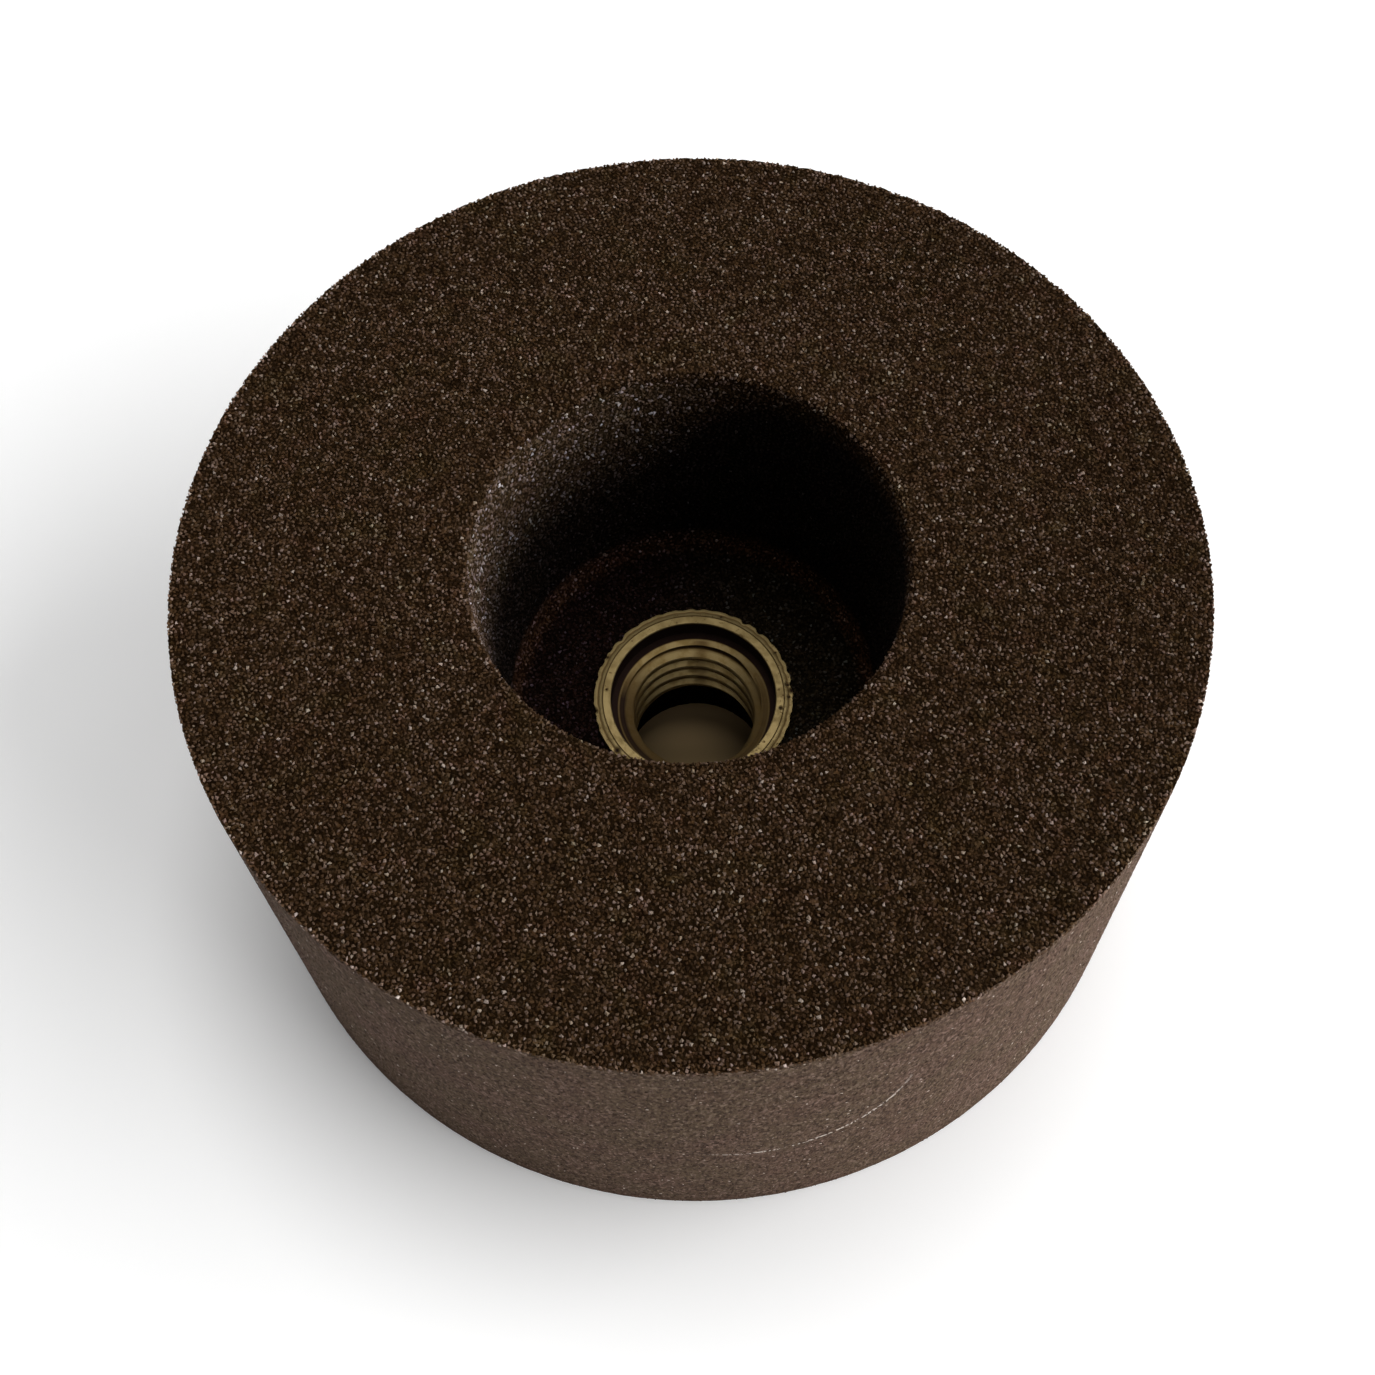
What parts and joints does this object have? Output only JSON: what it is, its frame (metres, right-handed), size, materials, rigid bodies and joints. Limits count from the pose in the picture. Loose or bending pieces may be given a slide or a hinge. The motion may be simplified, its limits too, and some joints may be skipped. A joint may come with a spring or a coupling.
{
  "type": "cup grinding wheel",
  "caption": "Straight-sided cup grinding wheel of resin-bonded grain, with a round recess and a moulded-in knurled steel bush threaded for a grinder spindle.",
  "frame": {"origin": "centre of the flat back face, on the spindle axis", "axes": "+Z along the spindle axis, from the back face towards the grinding face; the wheel is round about it, so +X and +Y only fix the knurl and the start of the thread"},
  "size_m": [0.1016, 0.1016, 0.0508],
  "materials": {
    "abrasive": "coarse open brown grain in resin, matt with bright specks, finer and paler on the moulded side",
    "bush_steel": "turned plain steel, slightly yellowed"
  },
  "bodies": {
    "root": {"abrasive_body": "abrasive", "threaded_bush": "bush_steel"}
  },
  "joints": []
}
